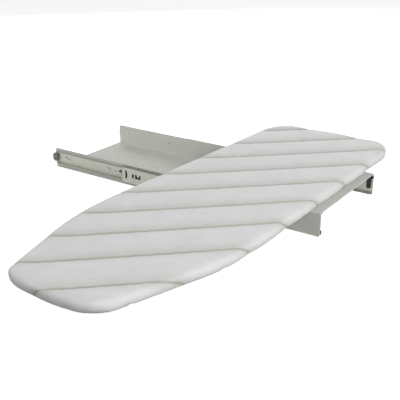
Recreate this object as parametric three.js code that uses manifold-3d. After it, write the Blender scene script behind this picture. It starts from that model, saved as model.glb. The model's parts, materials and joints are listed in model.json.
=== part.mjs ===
// Pull-out swivel ironing board for a closet shelf. Millimetres, +Z up.
// Origin: the centre of the base tray's underside. +X is the pull-out direction, +Y runs towards the
// board's square heel and the nose points to -Y. The model stands pulled out, with the board across.
import * as THREE from 'three';
import { mergeVertices } from 'three/addons/utils/BufferGeometryUtils.js';
import Module from 'manifold-3d';

const wasm = await Module();
wasm.setup();

// ---------------------------------------------------------------- driving dimensions

const RAIL_LENGTH = 355.6;        // 14 in slides, and as much travel
const SHEET = 1.5;                // painted sheet steel
const BEND = 2.6;                 // centreline radius of the sheet's folds
const CORNER = 3;                 // radius of the sheet's free corners

const TRAY_WIDTH = 239.3;
const TRAY_HEIGHT = 48.6;
const CARRIAGE_TOP = 52.6;
const CARRIAGE_BOTTOM = 2.8;
const FLOOR_HOLES = [[-90, 0], [90, 0], [90, 80], [90, -80]];
const FLOOR_HOLE_RADIUS = 2.75;

const SLIDE_THICKNESS = 12.7;
const RAIL_Z = 27.9;              // height of the slides' middle
const STRIP = 1.2;                // steel of the rails
const CAGE_STRIP = 0.4;           // steel of the ball cages
const MIDDLE_START = 39.2;        // middle member, pulled out
const MIDDLE_LENGTH = 333;
const INNER_CAGE = [106, 174];    // start and end along X, pulled out
const OUTER_CAGE = [200, 350];
const LEVER_PIVOT_X = 99.5;
const INNER_START = -172.8;       // back end of the inner member
const RAIL_SCREWS = [-144, -11, 140];
const CARRIAGE_RIVETS = [213, 312, 412];

const PIVOT_X = 360.3;            // the pivot stands at Y = 0
const BOARD_TURN = -1.1;          // degrees that the board rests past square

const PLATE_RADIUS = 68;
const PLATE_THICKNESS = 2.5;
const PIN_CIRCLE = 50;
const PIN_RADIUS = 3;
const SLOT_HALF_WIDTH = 3.5;
const HALF_TURN = 182.2;          // degrees between the two stops
const RING_RADII = [64, 56];
const BOARD_PLATE = [150, 190];
const BOARD_PLATE_THICKNESS = 2.2;
const PANEL_POCKET = 14;

const BOARD_WIDTH = 334.6;        // widest, where the sides start to taper
const TAPER_Y = -340;
const HEEL_WIDTH = 318.2;
const HEEL_Y = 286.6;
const HEEL_CORNER = [57.7, 74];   // half axes of the heel's elliptical corners, across and along
const HEEL_BOW = 2.6;
const NOSE_Y = -671.8;
const NOSE_HALF_WIDTH = 106.6;
const NOSE_RADIUS = 55;
const TAPER_ANGLE = 16.6;         // degrees, at the nose's corner
const NOSE_BOW = 4.6;

const COVER_BOTTOM = 59;
const COVER_TOP = 80;
const COVER_CLOTH = 0.9;
const UPPER_EDGE = [18, 12.5];    // half axes, across and upright, of the pad's upper edge
const LOWER_EDGE = [6, 5];
const HEM_WIDTH = 30;
const FOAM_BOTTOM = 64;
const PANEL_BOTTOM = 60.2;
const PANEL_TOP = 70.2;
const PANEL_INSET = 7;

const GAP = 0.3;                  // between pieces that rest on each other
const ROUND = 24;                 // sides of a turned piece

const trayEnd = RAIL_LENGTH / 2;
const carriageStart = trayEnd;
const carriageEnd = trayEnd + RAIL_LENGTH;
const trayFace = TRAY_WIDTH / 2;
const carriageFace = trayFace + SLIDE_THICKNESS;
const plateBottom = CARRIAGE_TOP + GAP;
const plateTop = plateBottom + PLATE_THICKNESS;
const boardPlateTop = PANEL_BOTTOM - GAP;
const boardPlateBottom = boardPlateTop - BOARD_PLATE_THICKNESS;
const carriageUnderside = CARRIAGE_TOP - SHEET;

// ---------------------------------------------------------------- materials

function finish(color, roughness, metalness) {
  return new THREE.MeshStandardMaterial({ color, roughness, metalness });
}

const paint = finish(0xc3c4bd, 0.5, 0.1);
const zinc = finish(0xb6b8ab, 0.35, 0.85);
const steel = finish(0xc2c4c6, 0.3, 0.9);
const blackPlastic = finish(0x161616, 0.5, 0);
const greyPlastic = finish(0x7c7e7f, 0.6, 0);
const rubber = finish(0x141414, 0.85, 0);
const nylon = finish(0xe6e4dc, 0.5, 0);
const wood = finish(0xc7a677, 0.8, 0);
const foam = finish(0xe9e4d2, 0.95, 0);
const fabric = finish(0xdededb, 0.95, 0);
const elastic = finish(0xe4e2dd, 0.95, 0);

// ---------------------------------------------------------------- tools

// Points through the corners [a, b, radius], each corner rounded to its radius.
function rounded(corners, closed = false) {
  const arcStep = Math.PI / 10;
  const count = corners.length;
  const points = [];
  corners.forEach(([a, b, radius = 0], index) => {
    const corner = new THREE.Vector2(a, b);
    const isEnd = !closed && (index === 0 || index === count - 1);
    if (radius === 0 || isEnd) {
      points.push(corner);
      return;
    }
    const [beforeA, beforeB] = corners[(index + count - 1) % count];
    const [afterA, afterB] = corners[(index + 1) % count];
    const back = new THREE.Vector2(beforeA, beforeB).sub(corner).normalize();
    const ahead = new THREE.Vector2(afterA, afterB).sub(corner).normalize();
    const half = Math.acos(THREE.MathUtils.clamp(back.dot(ahead), -1, 1)) / 2;
    const toCentre = back.clone().add(ahead).normalize();
    const centre = corner.clone().addScaledVector(toCentre, radius / Math.sin(half));
    const start = corner.clone().addScaledVector(back, radius / Math.tan(half)).sub(centre);
    const turn = (Math.PI - 2 * half) * -Math.sign(back.cross(ahead));
    const steps = Math.max(2, Math.ceil(Math.abs(turn) / arcStep));
    for (let step = 0; step <= steps; step += 1) {
      const arm = start.clone().rotateAround(new THREE.Vector2(), (turn * step) / steps);
      points.push(arm.add(centre));
    }
  });
  return points;
}

// Outline of a bent strip: its centreline moved half the thickness to each side.
function strip(centreline, thickness) {
  const left = [];
  const right = [];
  centreline.forEach((point, index) => {
    const before = centreline[Math.max(index - 1, 0)];
    const after = centreline[Math.min(index + 1, centreline.length - 1)];
    const into = point.clone().sub(before).normalize();
    const out = after.clone().sub(point).normalize();
    const along = into.clone().add(out).normalize();
    const reach = thickness / 2 / Math.max(along.dot(index ? into : out), 0.5);
    const side = new THREE.Vector2(-along.y, along.x).multiplyScalar(reach);
    left.push(point.clone().add(side));
    right.push(point.clone().sub(side));
  });
  return new THREE.Shape([...left, ...right.reverse()]);
}

function extrude(shape, depth, xAxis, yAxis, zAxis) {
  const geometry = new THREE.ExtrudeGeometry(shape, { depth, bevelEnabled: false, curveSegments: 12 });
  return geometry.applyMatrix4(new THREE.Matrix4().makeBasis(xAxis, yAxis, zAxis));
}

const X = new THREE.Vector3(1, 0, 0);
const Y = new THREE.Vector3(0, 1, 0);
const Z = new THREE.Vector3(0, 0, 1);

// A shape drawn in (Y, Z), swept along X from start to end.
function alongX(shape, start, end) {
  return extrude(shape, end - start, Y, Z, X).translate(start, 0, 0);
}

// A shape drawn in (X, Z), swept along Y from start to end.
function alongY(shape, start, end) {
  return extrude(shape, end - start, X, Z, Y.clone().negate()).translate(0, end, 0);
}

// A shape drawn in (X, Y), swept along Z from start to end.
function alongZ(shape, start, end) {
  return extrude(shape, end - start, X, Y, Z).translate(0, 0, start);
}

function disc(radius, x = 0, y = 0, sides = ROUND) {
  const points = [];
  for (let side = 0; side < sides; side += 1) {
    const angle = (side / sides) * 2 * Math.PI;
    points.push(new THREE.Vector2(x + radius * Math.cos(angle), y + radius * Math.sin(angle)));
  }
  return new THREE.Shape(points);
}

function rectangle(x0, y0, x1, y1, radius = 0) {
  const corners = [[x0, y0, radius], [x1, y0, radius], [x1, y1, radius], [x0, y1, radius]];
  return new THREE.Shape(rounded(corners, true));
}

function ring(outer, inner, sides) {
  const shape = disc(outer, 0, 0, sides);
  shape.holes.push(disc(inner, 0, 0, sides));
  return shape;
}

// A turned piece from its [radius, height] profile, which starts and ends on the axis.
function turned(profile, sides = ROUND) {
  const points = profile.map(([radius, height]) => new THREE.Vector2(radius, height));
  return new THREE.LatheGeometry(points, sides).rotateX(Math.PI / 2);
}

function solid(geometry) {
  const bare = geometry.clone();
  bare.deleteAttribute('normal');
  bare.deleteAttribute('uv');
  const merged = mergeVertices(bare, 1e-4);
  return new wasm.Manifold(new wasm.Mesh({
    numProp: 3,
    vertProperties: new Float32Array(merged.attributes.position.array),
    triVerts: new Uint32Array(merged.index.array),
  }));
}

function surface(manifold) {
  const mesh = manifold.getMesh();
  const geometry = new THREE.BufferGeometry();
  geometry.setAttribute('position', new THREE.BufferAttribute(mesh.vertProperties, 3));
  geometry.setIndex(new THREE.BufferAttribute(mesh.triVerts, 1));
  geometry.computeVertexNormals();
  return geometry;
}

function cut(geometry, ...tools) {
  const left = tools.reduce((rest, tool) => rest.subtract(solid(tool)), solid(geometry));
  return surface(left);
}

function piece(parent, name, geometry, material) {
  const mesh = new THREE.Mesh(geometry, material);
  mesh.name = name;
  parent.add(mesh);
  return mesh;
}

const assembly = new THREE.Group();

// ---------------------------------------------------------------- tray and carriage

// Round holes through both flanges of a folded sheet, at the rails' height.
function flangeHoles(places, radius) {
  const reach = carriageFace + CORNER;
  return places.map((x) => alongY(disc(radius, x, RAIL_Z, 16), -reach, reach));
}

// Cutters that round a flange's two free corners, where the sheet ends at the given height.
function freeCorners(start, end, height, towards) {
  const reach = carriageFace + CORNER;
  const inside = height - towards * CORNER;
  const outside = height + towards;
  return [[start, 1], [end, -1]].map(([edge, inwards]) => {
    const points = [
      new THREE.Vector2(edge - inwards, inside),
      new THREE.Vector2(edge - inwards, outside),
      new THREE.Vector2(edge + inwards * CORNER, outside),
    ];
    for (let step = 0; step <= 5; step += 1) {
      const angle = (step / 5) * (Math.PI / 2);
      const across = CORNER * (1 - Math.sin(angle));
      points.push(new THREE.Vector2(edge + inwards * across, inside + towards * CORNER * Math.cos(angle)));
    }
    return alongY(new THREE.Shape(points), -reach, reach);
  });
}

function baseTray() {
  const side = trayFace - SHEET / 2;
  const floor = SHEET / 2;
  const line = [[-side, TRAY_HEIGHT], [-side, floor, BEND], [side, floor, BEND], [side, TRAY_HEIGHT]];
  const sheet = alongX(strip(rounded(line), SHEET), -trayEnd, trayEnd);
  const floorHoles = FLOOR_HOLES.map(([x, y]) => alongZ(disc(FLOOR_HOLE_RADIUS, x, y, 16), -1, SHEET + 1));
  const corners = freeCorners(-trayEnd, trayEnd, TRAY_HEIGHT, 1);
  return cut(sheet, ...floorHoles, ...flangeHoles(RAIL_SCREWS, 2.4), ...corners);
}

function carriageSheet() {
  const side = carriageFace + SHEET / 2;
  const top = CARRIAGE_TOP - SHEET / 2;
  const line = [[side, CARRIAGE_BOTTOM], [side, top, BEND], [-side, top, BEND], [-side, CARRIAGE_BOTTOM]];
  const sheet = alongX(strip(rounded(line), SHEET), carriageStart, carriageEnd);
  const pivotHole = alongZ(disc(6.5, PIVOT_X, 0), CARRIAGE_BOTTOM, CARRIAGE_TOP + 1);
  const plateHoles = plateRivetPlaces().map(([x, y]) => (
    alongZ(disc(2.4, PIVOT_X + x, y, 16), CARRIAGE_BOTTOM, CARRIAGE_TOP + 1)
  ));
  const corners = freeCorners(carriageStart, carriageEnd, CARRIAGE_BOTTOM, -1);
  return cut(sheet, pivotHole, ...plateHoles, ...flangeHoles(CARRIAGE_RIVETS, 2.4), ...corners);
}

// ---------------------------------------------------------------- slides

// Each slide is drawn as the near one: (Y, Z) from the tray's near face and the rails' middle, with
// -Y pointing outwards. The far slide is the same slide turned half a turn about its length.
const MEMBERS = {
  inner: { web: 0.85, height: 13.75, lip: 7.9, bend: 2 },
  middle: { web: 9.65, waist: 17.75, waistEnd: 6.3, height: 19, shoulder: 4.8, lip: 2.1, bend: 1.8 },
  outer: { web: 11.85, height: 22.2, lip: 4.1, bend: 2.4, curl: 1.1 },
};

function mirrored(half) {
  const lower = half.map(([y, z, radius = 0]) => [y, -z, radius]).reverse();
  return rounded([...lower, ...half]);
}

function innerProfile() {
  const { web, height, lip, bend } = MEMBERS.inner;
  return strip(mirrored([[-web, height, bend], [-lip, height]]), STRIP);
}

function middleProfile() {
  const { web, waist, waistEnd, height, shoulder, lip, bend } = MEMBERS.middle;
  const half = [[-web, waist, bend], [-waistEnd, waist, bend], [-shoulder, height, bend], [-lip, height]];
  return strip(mirrored(half), STRIP);
}

function outerProfile() {
  const { web, height, lip, bend, curl } = MEMBERS.outer;
  const half = [[-web, height, bend], [-lip - curl, height, curl], [-lip, height - curl]];
  return strip(mirrored(half), STRIP);
}

function punched(profile, start, end, holes) {
  const tools = holes.map((hole) => alongY(hole, -SLIDE_THICKNESS - 1, 1));
  return cut(alongX(profile, start, end), ...tools);
}

function innerRail() {
  const screwHoles = RAIL_SCREWS.map((x) => disc(2.4, x, 0, 16));
  const slot = rectangle(-134.8, -1.6, -127.2, 1.6, 1.5);
  const rivetHole = disc(1.9, LEVER_PIVOT_X, -1, 16);
  const spare = [disc(2, 0.5, 0, 16), disc(2, 13.5, 0, 16)];
  return punched(innerProfile(), INNER_START, trayEnd, [...screwHoles, slot, rivetHole, ...spare]);
}

// The windows show the release lever behind the web: a crescent, a bar and a notched one.
function middleRail() {
  const crescent = new THREE.Shape();
  crescent.moveTo(46.5, 10.8);
  crescent.quadraticCurveTo(51.3, 2, 46.8, -8);
  crescent.lineTo(52, -8);
  crescent.quadraticCurveTo(56.5, 2, 52, 10.8);
  const bar = rectangle(68, -3, 73.4, 6.6);
  const notched = [
    [76.8, -3.4], [92.4, -3.4], [92.4, 6.6], [88.2, 6.6], [87.4, 1], [83.4, 0.6], [81.2, 6.6], [76.8, 6.6],
  ];
  const angle = new THREE.Shape(notched.map(([x, z]) => new THREE.Vector2(x, z)));
  const end = MIDDLE_START + MIDDLE_LENGTH;
  const holes = [crescent, bar, angle, disc(2, 143.5, 8, 16), disc(2, end - 40, 0, 16)];
  return punched(middleProfile(), MIDDLE_START, end, holes);
}

function outerRail() {
  const holes = CARRIAGE_RIVETS.map((x) => disc(2.4, x, 0, 16));
  return punched(outerProfile(), carriageStart, carriageEnd, holes);
}

function innerCage() {
  const half = [[-8.45, 16.4, 0.9], [-2, 16.4]];
  const [start, end] = INNER_CAGE;
  return alongX(strip(mirrored(half), CAGE_STRIP), start, end);
}

function outerCage() {
  const half = [[-10.75, 20, 0.9], [-6.2, 20]];
  const [start, end] = OUTER_CAGE;
  return alongX(strip(mirrored(half), CAGE_STRIP), start, end);
}

// Rounded stop that closes the inner rail's channel at the back end.
function endCap() {
  const back = -trayEnd;
  const corners = [[back + 8, -10], [back + 8, 10], [back - 4, 10, 6], [back - 4, -10, 6]];
  return alongY(new THREE.Shape(rounded(corners, true)), -7.6, -1.8);
}

// Oval buffer at the outer rail's front end, with a foot that stands past the rail.
function bumper() {
  const x = carriageEnd - 14;
  const corners = [
    [x, 11, 4], [x, -11, 4], [x + 6, -13, 2], [x + 6, -19, 2], [x + 15.3, -19, 2], [x + 15.3, -13, 2],
    [x + 10, -12, 2], [x + 10, 11, 4],
  ];
  return alongY(new THREE.Shape(rounded(corners, true)), -10.9, -8.8);
}

// Sprung release lever in the inner rail's channel, with its T-shaped tip and thumb pad.
function releaseLever() {
  const end = LEVER_PIVOT_X + 5;
  const outline = [
    [27, 1.8, 1], [34.6, 1.8], [34.6, -4.8, 1], [39.4, -4.8], [44.5, -8], [56.5, -8, 2], [60, -5, 3],
    [end, -5, 2], [end, 8, 2], [60, 8, 3], [56, 10.8, 2], [44.5, 10.8], [39.4, 8.6], [34.6, 8.6, 1],
    [34.6, 5.6], [27, 5.6, 1],
  ];
  const body = alongY(new THREE.Shape(rounded(outline, true)), -6.8, -2);
  return cut(body, alongY(disc(2.2, LEVER_PIVOT_X, -1, 16), -SLIDE_THICKNESS, 0));
}

function leverRivet() {
  const profile = [[0, 0.3], [1.6, 0.3], [1.6, 7.6], [3.2, 7.6], [3.2, 7.95], [0, 7.95]];
  return turned(profile, 16).rotateX(Math.PI / 2).translate(LEVER_PIVOT_X, 0, -1);
}

// Pan-head screw through the inner rail's web and the tray's flange, head outwards.
function railScrew(x) {
  const profile = [[0, -2.6], [2.1, -2.6], [2.1, 1.75], [4, 1.75], [4, 2.7], [2.8, 3.7], [0, 3.9]];
  return turned(profile, 16).rotateX(Math.PI / 2).translate(x, 0, 0);
}

// Low rivet through the carriage's flange and the outer rail's web, head outwards.
function carriageRivet(x) {
  const face = SLIDE_THICKNESS + SHEET;
  const profile = [
    [0, 11.4], [2.1, 11.4], [2.1, face + GAP], [3.8, face + GAP], [3, face + 1.1], [0, face + 1.4],
  ];
  return turned(profile, 16).rotateX(Math.PI / 2).translate(x, 0, 0);
}

function buildSlide(side) {
  const slide = new THREE.Group();
  if (side === 'far') {
    slide.position.set(0, trayFace, RAIL_Z);
    slide.rotation.x = Math.PI;
  } else {
    slide.position.set(0, -trayFace, RAIL_Z);
  }
  piece(slide, `inner_rail_${side}`, innerRail(), zinc);
  piece(slide, `middle_rail_${side}`, middleRail(), zinc);
  piece(slide, `outer_rail_${side}`, outerRail(), zinc);
  piece(slide, `inner_ball_cage_${side}`, innerCage(), steel);
  piece(slide, `outer_ball_cage_${side}`, outerCage(), steel);
  piece(slide, `rail_end_cap_${side}`, endCap(), greyPlastic);
  piece(slide, `rail_bumper_${side}`, bumper(), rubber);
  piece(slide, `release_lever_${side}`, releaseLever(), blackPlastic);
  piece(slide, `lever_rivet_${side}`, leverRivet(), steel);
  RAIL_SCREWS.forEach((x, index) => {
    piece(slide, `rail_screw_${side}_${index + 1}`, railScrew(x), steel);
  });
  CARRIAGE_RIVETS.forEach((x, index) => {
    piece(slide, `carriage_rivet_${side}_${index + 1}`, carriageRivet(x), paint);
  });
  assembly.add(slide);
}

// ---------------------------------------------------------------- swivel

function plateRivetPlaces() {
  const circle = 36;
  return [45, 135, 225, 315].map((degrees) => {
    const angle = THREE.MathUtils.degToRad(degrees);
    return [circle * Math.cos(angle), circle * Math.sin(angle)];
  });
}

function arcPoints(x, y, radius, from, to, steps) {
  const points = [];
  for (let step = 0; step <= steps; step += 1) {
    const angle = from + ((to - from) * step) / steps;
    points.push(new THREE.Vector2(x + radius * Math.cos(angle), y + radius * Math.sin(angle)));
  }
  return points;
}

// Slot round the pivot, from where the stop pin stands at rest to where it ends its half turn.
function stopSlot() {
  const from = THREE.MathUtils.degToRad(-90 + BOARD_TURN);
  const to = from + THREE.MathUtils.degToRad(HALF_TURN);
  const end = [PIN_CIRCLE * Math.cos(to), PIN_CIRCLE * Math.sin(to)];
  const start = [PIN_CIRCLE * Math.cos(from), PIN_CIRCLE * Math.sin(from)];
  const points = [
    ...arcPoints(0, 0, PIN_CIRCLE + SLOT_HALF_WIDTH, from, to, 24),
    ...arcPoints(...end, SLOT_HALF_WIDTH, to, to + Math.PI, 6),
    ...arcPoints(0, 0, PIN_CIRCLE - SLOT_HALF_WIDTH, to, from, 24),
    ...arcPoints(...start, SLOT_HALF_WIDTH, from + Math.PI, from + 2 * Math.PI, 6),
  ];
  return new THREE.Shape(withoutRepeats(points));
}

function withoutRepeats(points) {
  return points.filter((point, index) => {
    const next = points[(index + 1) % points.length];
    return point.distanceTo(next) > 1e-3;
  });
}

function swivelPlate() {
  const plate = alongZ(disc(PLATE_RADIUS, 0, 0, 40), plateBottom, plateTop);
  const rivetHoles = plateRivetPlaces().map(([x, y]) => alongZ(disc(2.4, x, y, 16), 0, COVER_TOP));
  return cut(plate, alongZ(stopSlot(), 0, COVER_TOP), alongZ(disc(6.5), 0, COVER_TOP), ...rivetHoles);
}

function plateRivet([x, y]) {
  const profile = [
    [0, carriageUnderside - 1.2], [3.2, carriageUnderside - 1.2], [3.6, carriageUnderside - GAP],
    [2.1, carriageUnderside - GAP], [2.1, plateTop + GAP], [3.6, plateTop + GAP], [2.6, plateTop + 1.1],
    [0, plateTop + 1.4],
  ];
  return turned(profile, 16).translate(x, y, 0);
}

function pivotBush() {
  const bottom = carriageUnderside + 0.1;
  const profile = [
    [4.3, bottom], [6.2, bottom], [6.2, plateTop + GAP], [12, plateTop + GAP],
    [12, boardPlateBottom - GAP], [4.3, boardPlateBottom - GAP], [4.3, bottom],
  ];
  return turned(profile);
}

function washer(outer, bottom, top) {
  return alongZ(ring(outer, 4.3, ROUND), bottom, top);
}

// Spring washer: a shallow cone.
function springWasher(bottom, top) {
  const lift = 0.6;
  const profile = [
    [4.4, bottom + lift], [8.5, bottom], [8.5, top - lift], [4.4, top], [4.4, bottom + lift],
  ];
  return turned(profile);
}

function hexagon(acrossFlats) {
  return disc(acrossFlats / Math.sqrt(3), 0, 0, 6);
}

function pivotBolt(bottom) {
  const head = solid(alongZ(hexagon(13), boardPlateTop + GAP, boardPlateTop + GAP + 5.3));
  const shank = solid(alongZ(disc(4), bottom, boardPlateTop + GAP + 1));
  return surface(head.add(shank));
}

function pivotNut(bottom, top) {
  return cut(alongZ(hexagon(13), bottom, top), alongZ(disc(4.3), bottom - 1, top + 1));
}

function boardScrewPlaces() {
  const [width, length] = BOARD_PLATE;
  const margin = 14;
  const x = width / 2 - margin;
  const y = length / 2 - margin;
  return [[-x, -y], [x, -y], [x, y], [-x, y]];
}

function boardPlate() {
  const [width, length] = BOARD_PLATE;
  const outline = rectangle(-width / 2, -length / 2, width / 2, length / 2, 12);
  const plate = alongZ(outline, boardPlateBottom, boardPlateTop);
  const screwHoles = boardScrewPlaces().map(([x, y]) => alongZ(disc(2.6, x, y, 16), 0, COVER_TOP));
  const pinHole = alongZ(disc(PIN_RADIUS + GAP, 0, -PIN_CIRCLE), 0, COVER_TOP);
  return cut(plate, alongZ(disc(4.3), 0, COVER_TOP), pinHole, ...screwHoles);
}

// Pan-head wood screw, driven upwards into the panel.
function boardScrew([x, y]) {
  const head = boardPlateBottom - GAP;
  const tip = PANEL_TOP - 1.2;
  const profile = [
    [0, head - 1.9], [2.6, head - 1.7], [3.9, head - 0.9], [3.9, head], [2.1, head], [2.1, tip - 2],
    [0, tip],
  ];
  return turned(profile, 16).translate(x, y, 0);
}

function buildSwivel(board) {
  const fixed = new THREE.Group();
  fixed.position.x = PIVOT_X;
  piece(fixed, 'swivel_plate', swivelPlate(), zinc);
  plateRivetPlaces().forEach((place, index) => {
    piece(fixed, `swivel_plate_rivet_${index + 1}`, plateRivet(place), steel);
  });
  const [ringOuter, ringInner] = RING_RADII;
  const ringSolid = alongZ(ring(ringOuter, ringInner, 40), plateTop + GAP, boardPlateBottom - GAP);
  piece(fixed, 'glide_ring', ringSolid, nylon);
  piece(fixed, 'pivot_bush', pivotBush(), nylon);
  assembly.add(fixed);

  const washerTop = carriageUnderside - GAP;
  const springTop = washerTop - 1.6 - GAP;
  const nutTop = springTop - 2 - GAP;
  const nutBottom = nutTop - 6.5;
  piece(board, 'board_plate', boardPlate(), zinc);
  piece(board, 'pivot_bolt', pivotBolt(nutBottom - 2), steel);
  piece(board, 'pivot_washer', washer(12, washerTop - 1.6, washerTop), steel);
  piece(board, 'spring_washer', springWasher(springTop - 2, springTop), steel);
  piece(board, 'pivot_nut', pivotNut(nutBottom, nutTop), steel);
  const pin = alongZ(disc(PIN_RADIUS, 0, -PIN_CIRCLE), plateBottom + GAP, boardPlateTop);
  piece(board, 'stop_pin', pin, steel);
  boardScrewPlaces().forEach((place, index) => {
    piece(board, `board_screw_${index + 1}`, boardScrew(place), steel);
  });
}

// ---------------------------------------------------------------- board

// Outline of the padded board, anticlockwise: square heel, straight sides, tapering to a blunt nose.
function boardOutline() {
  const half = BOARD_WIDTH / 2;
  const [heelAcross, heelAlong] = HEEL_CORNER;
  const heelX = HEEL_WIDTH / 2 - heelAcross;
  const noseAngle = THREE.MathUtils.degToRad(TAPER_ANGLE);
  const cornerX = NOSE_HALF_WIDTH - NOSE_RADIUS;
  const cornerY = NOSE_Y + NOSE_RADIUS;
  const bowAngle = Math.atan2(2 * NOSE_BOW, cornerX);
  const taperX = cornerX + NOSE_RADIUS * Math.cos(noseAngle);
  const taperY = cornerY - NOSE_RADIUS * Math.sin(noseAngle);
  const reach = Math.hypot(taperX - half, taperY - TAPER_Y);
  const handle = 0.44 * reach;
  const right = new THREE.Path();
  right.moveTo(0, NOSE_Y - NOSE_BOW);
  right.quadraticCurveTo(
    cornerX / 2, NOSE_Y - NOSE_BOW,
    cornerX + NOSE_RADIUS * Math.sin(bowAngle), cornerY - NOSE_RADIUS * Math.cos(bowAngle),
  );
  right.absarc(cornerX, cornerY, NOSE_RADIUS, -Math.PI / 2 + bowAngle, -noseAngle, false);
  right.bezierCurveTo(
    taperX + handle * Math.sin(noseAngle), taperY + handle * Math.cos(noseAngle),
    half, TAPER_Y - handle, half, TAPER_Y,
  );
  right.absellipse(heelX, HEEL_Y - heelAlong, heelAcross, heelAlong, 0, Math.PI / 2, false);
  right.quadraticCurveTo(heelX / 2, HEEL_Y + HEEL_BOW, 0, HEEL_Y + HEEL_BOW);
  const points = withoutRepeats(right.getPoints(5));
  const left = points.slice(1, -1).map((point) => new THREE.Vector2(-point.x, point.y)).reverse();
  return [...points, ...left];
}

// The outline moved inwards by the same distance all round.
function inset(points, distance) {
  return points.map((point, index) => {
    const before = points[(index + points.length - 1) % points.length];
    const after = points[(index + 1) % points.length];
    const along = after.clone().sub(before).normalize();
    return new THREE.Vector2(point.x - along.y * distance, point.y + along.x * distance);
  });
}

// Heights and insets up the side of a slab whose lower and upper edges are quarter ellipses.
function edgeLevels(bottom, top, lower, upper) {
  const levels = [];
  const quarter = (half, steps, place) => {
    for (let step = 0; step <= steps; step += 1) {
      const angle = (step / steps) * (Math.PI / 2);
      levels.push(place(half, angle));
    }
  };
  quarter(lower, 2, ([across, up], angle) => (
    [bottom + up * (1 - Math.cos(angle)), across * (1 - Math.sin(angle))]
  ));
  quarter(upper, 3, ([across, down], angle) => (
    [top - down * (1 - Math.sin(angle)), across * (1 - Math.cos(angle))]
  ));
  return levels;
}

// A slab with rounded edges: one closed skin of rings and two caps.
function softSlab(outline, bottom, top, lower = LOWER_EDGE, upper = UPPER_EDGE) {
  const levels = edgeLevels(bottom, top, lower, upper);
  const count = outline.length;
  const positions = [];
  levels.forEach(([height, distance]) => {
    inset(outline, distance).forEach((point) => positions.push(point.x, point.y, height));
  });
  const faces = [];
  for (let level = 0; level < levels.length - 1; level += 1) {
    for (let index = 0; index < count; index += 1) {
      const here = level * count + index;
      const beside = level * count + ((index + 1) % count);
      faces.push(here, beside, beside + count, here, beside + count, here + count);
    }
  }
  const lastRing = (levels.length - 1) * count;
  THREE.ShapeUtils.triangulateShape(outline, []).forEach(([a, b, c]) => {
    faces.push(lastRing + a, lastRing + b, lastRing + c);
    faces.push(a, c, b);
  });
  const geometry = new THREE.BufferGeometry();
  geometry.setAttribute('position', new THREE.Float32BufferAttribute(positions, 3));
  geometry.setIndex(faces);
  geometry.computeVertexNormals();
  return geometry;
}

function slab(outline, bottom, top) {
  return alongZ(new THREE.Shape(outline), bottom, top);
}

function boardPanel(outline) {
  const pocket = alongZ(disc(PANEL_POCKET), 0, PANEL_TOP - 2);
  const screwHoles = boardScrewPlaces().map(([x, y]) => (
    alongZ(disc(2.4, x, y, 16), 0, PANEL_TOP - 0.6)
  ));
  return cut(slab(inset(outline, PANEL_INSET), PANEL_BOTTOM, PANEL_TOP), pocket, ...screwHoles);
}

function foamPad(outline) {
  const clear = COVER_CLOTH + GAP;
  const pad = softSlab(inset(outline, clear), FOAM_BOTTOM, COVER_TOP - clear, [0.5, 0.5]);
  const room = slab(inset(outline, PANEL_INSET - GAP), 0, PANEL_TOP + GAP);
  return cut(pad, room);
}

function quiltedCover(outline) {
  const skin = softSlab(outline, COVER_BOTTOM, COVER_TOP);
  const room = softSlab(inset(outline, COVER_CLOTH), COVER_BOTTOM + COVER_CLOTH, COVER_TOP - COVER_CLOTH);
  const mouth = slab(inset(outline, HEM_WIDTH), COVER_BOTTOM - 1, COVER_BOTTOM + 2 * COVER_CLOTH);
  return cut(skin, room, mouth);
}

function coverElastic(outline) {
  const band = new THREE.Shape(inset(outline, HEM_WIDTH + GAP));
  band.holes.push(new THREE.Shape(inset(outline, HEM_WIDTH + 4)));
  return alongZ(band, COVER_BOTTOM - 0.4, COVER_BOTTOM + COVER_CLOTH);
}

function buildBoard() {
  const board = new THREE.Group();
  board.position.x = PIVOT_X;
  board.rotation.z = THREE.MathUtils.degToRad(BOARD_TURN);
  const outline = boardOutline();
  piece(board, 'board_panel', boardPanel(outline), wood);
  piece(board, 'foam_pad', foamPad(outline), foam);
  piece(board, 'quilted_cover', quiltedCover(outline), fabric);
  piece(board, 'cover_elastic', coverElastic(outline), elastic);
  assembly.add(board);
  return board;
}

piece(assembly, 'base_tray', baseTray(), paint);
piece(assembly, 'carriage', carriageSheet(), paint);
buildSlide('near');
buildSlide('far');
buildSwivel(buildBoard());

export default assembly;
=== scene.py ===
"""Looks of a pull-out swivel ironing board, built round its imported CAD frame. Metres, +Z up.

The cover's skin is laid out flat, as its cloth is cut, with rows of points along its sewn seams. It is
then wrapped over the board's edge and inflated between the seams by a cloth simulation.
"""

import json
import math

import bmesh
import bpy
import numpy as np
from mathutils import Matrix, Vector
from mathutils.geometry import delaunay_2d_cdt


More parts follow.
